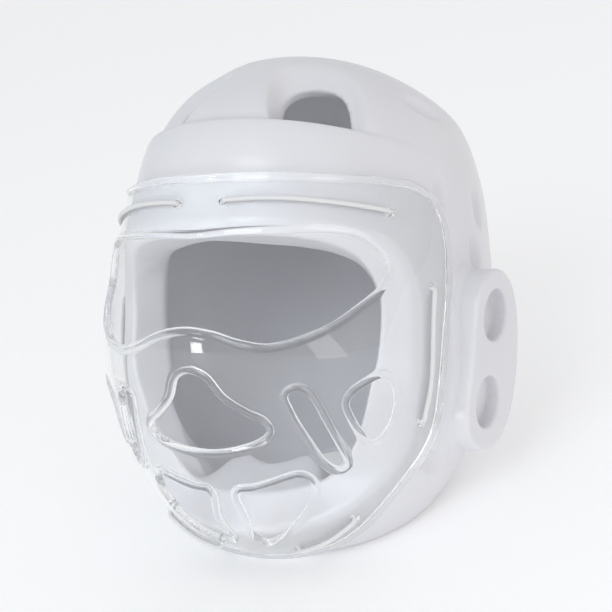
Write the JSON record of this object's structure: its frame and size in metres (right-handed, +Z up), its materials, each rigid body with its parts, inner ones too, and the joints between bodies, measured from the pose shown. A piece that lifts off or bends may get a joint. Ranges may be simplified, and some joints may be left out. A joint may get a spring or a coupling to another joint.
{
  "type": "karate headgear",
  "caption": "White dipped-foam karate headgear with a clear bead-edged face mask laced to its front, padded ears and vented crown; it wraps and protects the head.",
  "frame": {"origin": "on the floor under the middle of the whole box, as the headgear rests on its flat neck rim", "axes": "+X to the wearer's left, -Y to the front, +Z up; the face looks forward and up because the neck rim lies flat"},
  "size_m": [0.2352, 0.2638, 0.2474],
  "materials": {
    "foam": "satin white skin over moulded foam",
    "clear_mask": "clear, glossy",
    "lace": "white braided cord"
  },
  "bodies": {
    "root": {"foam_shell": "foam", "ear_pad_left": "foam", "ear_pad_right": "foam", "face_mask": "clear_mask", "brow_lace_left": "lace", "brow_lace_right": "lace", "side_lace_left": "lace", "side_lace_right": "lace", "chin_lace_left": "lace", "chin_lace_right": "lace"}
  },
  "joints": []
}
